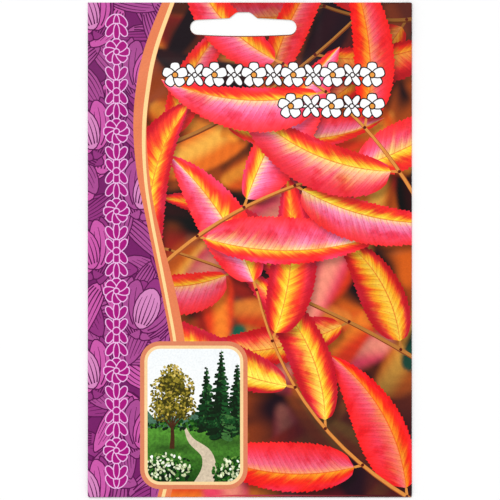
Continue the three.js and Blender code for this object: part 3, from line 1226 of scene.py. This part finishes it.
def normals_of(place, points, depth, outward):
    """The surface's own normals, from small steps on the net."""
    step = 0.01
    s, y = points[:, 0], points[:, 1]
    across = place(s + step, y, depth) - place(s - step, y, depth)
    along = place(s, y + step, depth) - place(s, y - step, depth)
    normal = np.cross(across, along) * outward
    size = np.linalg.norm(normal, axis=1)
    flat = size < 1e-7
    normal[flat] = np.column_stack([np.sign(s[flat]), 0 * s[flat], 0 * s[flat]])
    size[flat] = 1
    return normal / size[:, None]


def wall_normals(spots, walls):
    """Straight out from the cut edge, the same at a wall's four corners."""
    a, b, d = (spots[walls[:, k]] for k in (0, 1, 3))
    normals = np.cross(b - a, d - a)
    normals /= np.maximum(np.linalg.norm(normals, axis=1), 1e-12)[:, None]
    return np.repeat(normals, 4, axis=0)


def make_ply(name, art, domain, place, hole, guides):
    """A closed sheet of paper, printed on its outer side."""
    points, triangles, layers = cut_ply(art, domain, hole, guides)
    edges = boundary(triangles)
    rim, inner_points, inner_triangles = inner_side(points, edges)
    first_inner = len(points)
    spots = np.vstack([place(*points.T, 0.0), place(*inner_points.T, PAPER)])
    inner_of = {int(v): first_inner + k for k, v in enumerate(rim)}
    walls = np.array([(b, a, inner_of[int(a)], inner_of[int(b)]) for a, b in edges])
    back_faces = inner_triangles + first_inner
    used = np.zeros(len(spots), bool)
    used[:first_inner] = True
    used[back_faces] = True
    used[walls] = True
    renumber = np.cumsum(used) - 1
    faces = triangles.tolist() + renumber[back_faces].tolist() + renumber[walls].tolist()
    normals = [
        normals_of(place, points, 0.0, 1)[triangles.ravel()],
        normals_of(place, inner_points, PAPER, -1)[inner_triangles.ravel()],
        wall_normals(spots, walls),
    ]

    mesh = bpy.data.meshes.new(name)
    mesh.from_pydata((spots[used] * MM).tolist(), [], faces)
    paint_corners(mesh, art, points[triangles], layers)
    map_corners(mesh, points, triangles, inner_points, inner_triangles, len(walls))
    mesh.polygons.foreach_set("use_smooth", [True] * len(faces))
    mesh.materials.append(PRINT)
    mesh.materials.append(BARE)
    bare = np.arange(len(faces)) >= len(triangles)
    mesh.polygons.foreach_set("material_index", bare.astype(int))
    mesh.normals_split_custom_set(np.vstack(normals).tolist())
    mesh.update()
    ply = bpy.data.objects.new(name, mesh)
    bpy.context.collection.objects.link(ply)
    return ply


SHADOW_REACH = 8  # how far beyond a leaf's length its shadow is looked for


def paint_corners(mesh, art, corners_xy, layers):
    """Writes each corner's ink, and for a leaf its place on the leaf and its tints."""
    count = len(layers)
    values = np.zeros((count, 3, FIELDS))
    for number in np.unique(layers):
        rows = layers == number
        values[rows] = art.inks[number].paint(corners_xy[rows].reshape(-1, 2)).reshape(-1, 3, FIELDS)
    for number, leaf in art.leaves:
        distance = np.hypot(corners_xy[:, 0, 0] - leaf.x, corners_xy[:, 0, 1] - leaf.y)
        under = np.flatnonzero((layers < number) & (distance < leaf.length + SHADOW_REACH))
        if len(under):
            shade = 1 - LEAF_SHADE * leaf.shadow(corners_xy[under].reshape(-1, 2)).reshape(-1, 3)
            values[under, :, :3] *= shade[:, :, None]

    def write(name, kind, field, part):
        width = part.stop - part.start
        data = np.zeros((len(mesh.loops), width))
        data[: 3 * count] = values[:, :, part].reshape(-1, width)
        attribute = mesh.attributes.new(name, kind, "CORNER")
        attribute.data.foreach_set(field, data.ravel())

    write("ink", "FLOAT_COLOR", "color", INK)
    write("leaf_place", "FLOAT_VECTOR", "vector", PLACE)
    write("leaf_tints", "FLOAT_VECTOR", "vector", TINTS)
    write("mottle", "FLOAT", "value", MOTTLE)


# Sizes and places on the map that a finish is kept on, whose own size is 1
MAP_MARGIN = 0.006
MAP_PRINT = 0.66  # width for the print
MAP_RIGHT = 0.70  # where the rest starts, to the right of the print
MAP_INNER = (0.28, 0.45)  # size of the inner side, at the foot
MAP_EDGES = (0.28, 0.5)  # and of the cut edges, above it
MAP_EDGES_LOW = 0.48
MAP_EDGE_ROWS = 40


def map_corners(mesh, points, triangles, inner_points, inner_triangles, wall_count):
    """The map's places, none over another: the print large, the inner side small, the cut edges in rows."""
    low = points.min(axis=0)
    span = points.max(axis=0) - low
    scale = min(MAP_PRINT / span[0], (1 - 2 * MAP_MARGIN) / span[1])
    outer = (points - low) * scale + MAP_MARGIN
    inner = (inner_points - low) * min(MAP_INNER / span) + [MAP_RIGHT, MAP_MARGIN]
    per_row = math.ceil(wall_count / MAP_EDGE_ROWS)
    cell = MAP_EDGES / np.array([per_row, MAP_EDGE_ROWS])
    k = np.arange(wall_count)
    start = np.column_stack([k % per_row, k // per_row]) * cell + [MAP_RIGHT, MAP_EDGES_LOW]
    quad = np.array([(1, 0), (0, 0), (0, 0.8), (1, 0.8)]) * cell
    edges = (start[:, None, :] + quad[None]).reshape(-1, 2)
    mapped = np.vstack([outer[triangles.ravel()], inner[inner_triangles.ravel()], edges])
    mesh.uv_layers.new(name="OFBake").data.foreach_set("uv", mapped.ravel())


# Materials


OBJECT_OUTPUT = 3  # of a Texture Coordinate node


class Value:
    """A number or colour in a material. Arithmetic on it makes math nodes."""

    def __init__(self, tree, socket):
        self.tree, self.socket = tree, socket

    def __abs__(self):
        return self.tree.math("ABSOLUTE", self)

    def __add__(self, other):
        return self.tree.math("ADD", self, other)

    def __sub__(self, other):
        return self.tree.math("SUBTRACT", self, other)

    def __mul__(self, other):
        return self.tree.math("MULTIPLY", self, other)


class Tree:
    """A material's node tree, with short calls for the nodes that are used here."""

    def __init__(self, name, roughness, specular):
        self.material = bpy.data.materials.new(name)
        self.material.use_nodes = True
        self.tree = self.material.node_tree
        self.shader = self.tree.nodes["Principled BSDF"]
        self.shader.inputs["Roughness"].default_value = roughness
        self.shader.inputs["Specular IOR Level"].default_value = specular

    def give(self, socket, value):
        """Links a socket to a value, or sets it to a number or a colour."""
        if isinstance(value, Value):
            self.tree.links.new(value.socket, socket)
        elif socket.type == "RGBA":
            socket.default_value = (*value, 1.0)
        else:
            socket.default_value = value

    def node(self, kind, inputs, **settings):
        """A new node, with its settings and with what its inputs get, by their names or numbers."""
        node = self.tree.nodes.new(kind)
        for name, value in settings.items():
            setattr(node, name, value)
        for name, value in inputs.items():
            self.give(node.inputs[name], value)
        return [Value(self, output) for output in node.outputs]

    def object_place(self):
        return self.node("ShaderNodeTexCoord", {})[OBJECT_OUTPUT]

    def attribute(self, name):
        """A mesh attribute, as a colour, a vector, a number and an alpha."""
        return self.node("ShaderNodeAttribute", {}, attribute_name=name)

    def math(self, operation, *values):
        return self.node("ShaderNodeMath", dict(enumerate(values)), operation=operation)[0]

    def step(self, value, start, end, low=0.0, high=1.0):
        inputs = dict(enumerate((value, start, end, low, high)))
        return self.node("ShaderNodeMapRange", inputs, interpolation_type="SMOOTHSTEP")[0]

    def split(self, vector):
        return self.node("ShaderNodeSeparateXYZ", {0: vector})

    def join(self, x, y, z):
        return self.node("ShaderNodeCombineXYZ", {0: x, 1: y, 2: z})[0]

    def noise(self, vector, scale, detail=2.0, roughness=0.5):
        inputs = {"Vector": vector, "Scale": scale, "Detail": detail, "Roughness": roughness}
        return self.node("ShaderNodeTexNoise", inputs)[0]

    def ramp(self, value, stops):
        """A colour ramp; each stop is a position and a printed colour."""
        colour = self.node("ShaderNodeValToRGB", {0: value})[0]
        elements = colour.socket.node.color_ramp.elements
        while len(elements) < len(stops):
            elements.new(0.5)
        for element, (position, rgb) in zip(elements, stops):
            element.position = position
            element.color = (*ink(rgb), 1.0)
        return colour

    def mix(self, factor, a, b, blend="MIX"):
        inputs = {0: factor, 6: a, 7: b}
        return self.node("ShaderNodeMix", inputs, data_type="RGBA", blend_type=blend)[2]

    def scaled(self, colour, factor):
        return self.mix(1.0, colour, self.join(factor, factor, factor), "MULTIPLY")

    def finish(self, colour, height, distance, strength):
        """Gives the shader its colour, and a bump of that distance and strength."""
        inputs = {"Strength": strength, "Distance": distance, "Height": height}
        self.give(self.shader.inputs["Normal"], self.node("ShaderNodeBump", inputs)[0])
        self.give(self.shader.inputs["Base Color"], colour)
        return self.material


# From a leaf's middle to its edge: where each tint stands, on a warm leaf and on a pink half
WARM_STOPS = (
    (0.0, (255, 230, 88)), (0.22, (253, 202, 54)), (0.40, (250, 148, 46)),
    (0.52, (250, 96, 46)), (0.66, (252, 62, 44)), (1.0, (246, 46, 50)),
)
PINK_STOPS = (
    (0.0, (253, 220, 150)), (0.10, (250, 180, 160)), (0.22, (242, 140, 180)),
    (0.48, (240, 96, 140)), (0.72, (248, 74, 96)), (1.0, (251, 56, 58)),
)
LEAF_RIM = (236, 78, 128)
LEAF_DEEP = (226, 30, 44)
LEAF_MARGIN = (178, 20, 42)
LEAF_MIDRIB = (232, 118, 50)
LEAF_LIGHT = 1.13
VEIN_TINT = (0.80, 0.42, 0.40)  # what a vein leaves of the leaf's red, green and blue


def leaf_finish(tree):
    """A leaf's colour from its place and tints: a glowing middle, red margins, one half often pink."""
    along, across, seed = tree.split(tree.attribute("leaf_place")[1])
    warm, pink, half_width = tree.split(tree.attribute("leaf_tints")[1])
    distance = abs(across)
    lit_half = tree.step(across, -0.01, 0.03)
    across_mm = distance * half_width
    vein_run = along - across_mm * VEIN_SLANT
    side_seed = lit_half * 3.7 + seed * 11.3

    broad = tree.noise(tree.join(vein_run * 0.42, side_seed, 0), 1.0, 1.0)
    fine = tree.noise(tree.join(vein_run * 2.1, distance * 1.6, side_seed), 1.0, 3.0)
    patch = tree.noise(tree.join(along * 0.06, across * 0.8, side_seed), 1.0, 2.0)
    blotch = tree.noise(tree.join(along * 0.2, across * 1.5, side_seed), 1.0, 3.0)
    speck = tree.noise(tree.join(along, across_mm, side_seed), 1.9, 3.0, 0.6)

    reach = warm * (pink * -0.55 + 1.0) * 0.5 + 0.16
    streaky = (fine - 0.5) * 0.35
    zone = distance - reach + (broad - 0.5) * 0.75 + streaky + tree.step(along, 8, 44, -0.1, 0.14)
    warm_colour = tree.ramp(zone * 0.9 + 0.42, WARM_STOPS)
    pink_colour = tree.ramp(distance + (fine - 0.5) * 0.34, PINK_STOPS)
    pink_cover = tree.step(pink, 0.25, 0.75) * lit_half * tree.step(patch, 0.30, 0.55, 0.35, 1.0)
    rim_cover = tree.step(distance, 0.45, 1.0) * tree.step(patch, 0.42, 0.66)
    deep = tree.step(blotch, 0.50, 0.66) * tree.step(distance, 0.12, 0.5)
    margin = tree.step(pink, 0.62, 0.36) * tree.step(distance + streaky, 0.5, 0.85)
    colour = tree.mix(rim_cover * 0.7, warm_colour, ink(LEAF_RIM))
    colour = tree.mix(pink_cover, colour, pink_colour)
    colour = tree.mix(deep * 0.6, colour, ink(LEAF_DEEP))
    colour = tree.mix(margin * 0.8, colour, ink(LEAF_MARGIN))

    # Side veins, which part the leaf into panels that are lighter towards its tip
    panel = tree.math("FRACT", vein_run * (1 / VEIN_PITCH) + (speck - 0.5) * 0.5 + seed) - 0.5
    vein = tree.step(abs(panel) * VEIN_PITCH, 0.2, 0.02) * tree.step(distance, 0.9, 0.35, 0.1, 0.75)
    colour = tree.mix(vein, colour, VEIN_TINT, "MULTIPLY")
    colour = tree.mix(tree.step(across_mm, 0.26, 0.08) * 0.8, colour, ink(LEAF_MIDRIB))
    light = (patch - 0.5) * 0.6 + LEAF_LIGHT + (speck - 0.5) * 0.45
    return tree.scaled(colour, light + panel * tree.step(distance, 1.0, 0.5, 0.05, 0.22))


def printed_paper():
    """Coated paper with the inks of the print: flat ones as they are, leaves from their own finish."""
    tree = Tree("printed_paper", roughness=0.34, specular=0.1)
    spot = tree.object_place()
    laid, _, _, leafness = tree.attribute("ink")
    leaf = tree.mix(1.0, leaf_finish(tree), laid, "MULTIPLY")
    broken = (tree.noise(spot, 1300, 3.0, 0.6) - 0.5) * tree.attribute("mottle")[2]
    colour = tree.mix(leafness, tree.scaled(laid, broken * 3.2 + 1.0), leaf)
    grain = (tree.noise(spot, 2000) - 0.5) * 0.3
    cloud = (tree.noise(spot, 60, 3.0) - 0.5) * 0.06
    colour = tree.scaled(colour, grain + 1.0 + cloud)
    return tree.finish(colour, tree.noise(spot, 900, 3.0), 0.00004, 0.25)


def bare_paper():
    """The paper's own white: the inner side and the cut edges, with loose fibres."""
    tree = Tree("bare_paper", roughness=0.75, specular=0.2)
    fibre = tree.noise(tree.object_place(), 1500, 4.0, 0.7)
    colour = tree.ramp(fibre, ((0.3, PAPER_SHADE), (0.7, PAPER_WHITE)))
    return tree.finish(colour, fibre, 0.00005, 0.4)


PRINT = printed_paper()
BARE = bare_paper()


# The sheet is printed


def print_sheet():
    art = Print()
    main_picture(art)
    strip(art)
    band(art)
    frieze(art)
    for ends in GARLANDS:
        garland(art, *ends)
    inset(art)
    # A thin line of painted shade along the slot's lower edge
    art.lay(slot_outline() - [0, SLOT_EDGE_SHADE_WIDTH], Plain(SLOT_EDGE_SHADE))
    back_page(art)
    return art


FOLD_STEPS = 8
CAP_END = SIDE + CAP_PART * ARC / 2


def side_fold_lines():
    """Lines along the side folds, close enough for their round. They stop short of the ply's rim."""
    y = np.linspace(FOOT + 0.2, TOP - 0.2, 90)
    starts = [way * (SIDE + k * ARC / FOLD_STEPS) for way in (1, -1) for k in range(FOLD_STEPS)]
    return [np.column_stack([np.full(len(y), s), y]) for s in starts]


def foot_fold_lines():
    s = np.linspace(-CAP_END + 0.05, CAP_END - 0.05, 70)
    starts = [FOOT - k * ARC / FOLD_STEPS for k in range(1, FOLD_STEPS)]
    return [np.column_stack([s, np.full(len(s), y)]) for y in starts]


def flap_outline():
    """The foot fold with its caps, and the flap, whose sides taper towards its edge."""
    half = SIDE + FOLD - FLAP_TAPER
    low = FOOT - ARC - (FLAP_EDGE - FOOT)
    left = np.array([(-CAP_END, FOOT), (-CAP_END, FOOT - ARC), (-SIDE, FOOT - ARC), (-half, low)])
    return np.vstack([left, left[::-1] * [-1, 1]])


def build_packet():
    art = print_sheet()
    slot = slot_outline()
    behind = slot * [-1, 1] - [BACK_MIDDLE, 0]
    front = box(-ARC_END, FOOT, ARC_END, TOP)
    wide = box(-(BACK_MIDDLE + HIDDEN_EDGE), FOOT, -ARC_END, TOP)
    narrow = box(ARC_END, FOOT, BACK_MIDDLE - SEAM_EDGE, TOP)
    # Each ply's name, nodes, slot, outline on the net, way of folding, hole and guide lines
    plies = (
        ("printed_front", ("front_panel",), "printed_front", front, front_place, slot, side_fold_lines()),
        ("foot_fold", ("foot_flap",), "back_paper", flap_outline(), foot_place, None, foot_fold_lines()),
        ("wide_back_ply", ("back_panel",), "back_paper", wide, back_place, behind, ()),
        ("narrow_back_ply", ("seam_panel",), "back_paper", narrow, seam_place, None, ()),
    )
    for name, nodes, slot_name, domain, place, hole, guides in plies:
        ply = make_ply(name, art, domain, place, hole, guides)
        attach(ply, "root")
        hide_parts(*nodes)


# Floor, light and camera

WORLD_LIGHT = 0.72  # how brightly the surroundings light the packet
WORLD_SEEN = 1.0  # and how bright they look behind it
KEY_ENERGY = 1.38
KEY_SPREAD = math.radians(20)
KEY_TURN = (math.radians(-22), math.radians(-10), 0)
FLOOR_WHITE = (0.9, 0.9, 0.9)
FLOOR_SIZE = 30
FLOOR_DROP = 0.00005  # how far the floor lies under the packet's back


def lay_floor():
    tree = Tree("floor", roughness=0.9, specular=0.1)
    tree.give(tree.shader.inputs["Base Color"], FLOOR_WHITE)
    bpy.ops.mesh.primitive_plane_add(size=FLOOR_SIZE, location=(0, 0, -FLOOR_DROP))
    floor = bpy.context.object
    floor.name = "floor"
    floor.data.materials.append(tree.material)


def light_world():
    """A white surrounding that looks brighter to the camera than it lights the packet."""
    world = bpy.data.worlds.new("studio")
    world.use_nodes = True
    nodes, links = world.node_tree.nodes, world.node_tree.links
    background = nodes["Background"]
    background.inputs["Color"].default_value = (1.0, 1.0, 1.0, 1.0)
    seen = nodes.new("ShaderNodeLightPath").outputs["Is Camera Ray"]
    strength = nodes.new("ShaderNodeMapRange")
    links.new(seen, strength.inputs["Value"])
    strength.inputs["To Min"].default_value = WORLD_LIGHT
    strength.inputs["To Max"].default_value = WORLD_SEEN
    links.new(strength.outputs[0], background.inputs["Strength"])
    bpy.context.scene.world = world


def hang_key_light():
    key = bpy.data.lights.new("key", "SUN")
    key.energy = KEY_ENERGY
    key.angle = KEY_SPREAD
    lamp = bpy.data.objects.new("key", key)
    lamp.rotation_euler = KEY_TURN
    bpy.context.collection.objects.link(lamp)


CAMERA_HEIGHT = 1.2
VIEW_WIDTH = 150.37  # what the photograph's frame spans, halfway up the packet
VIEW_CENTRE = (0.06, -0.06)


def place_camera():
    """A camera straight above the packet, with the lens that gives the photograph's frame."""
    data = bpy.data.cameras.new("camera")
    data.lens = data.sensor_width * (CAMERA_HEIGHT - FRONT_HIGH[2] * MM / 2) / (VIEW_WIDTH * MM)
    data.clip_start = 0.01
    data.clip_end = 100
    eye = bpy.data.objects.new("camera", data)
    eye.location = (VIEW_CENTRE[0] * MM, VIEW_CENTRE[1] * MM, CAMERA_HEIGHT)
    bpy.context.collection.objects.link(eye)
    bpy.context.scene.camera = eye


bpy.context.scene.view_settings.view_transform = "Standard"
place_camera()
lay_floor()
light_world()
hang_key_light()
build_packet()
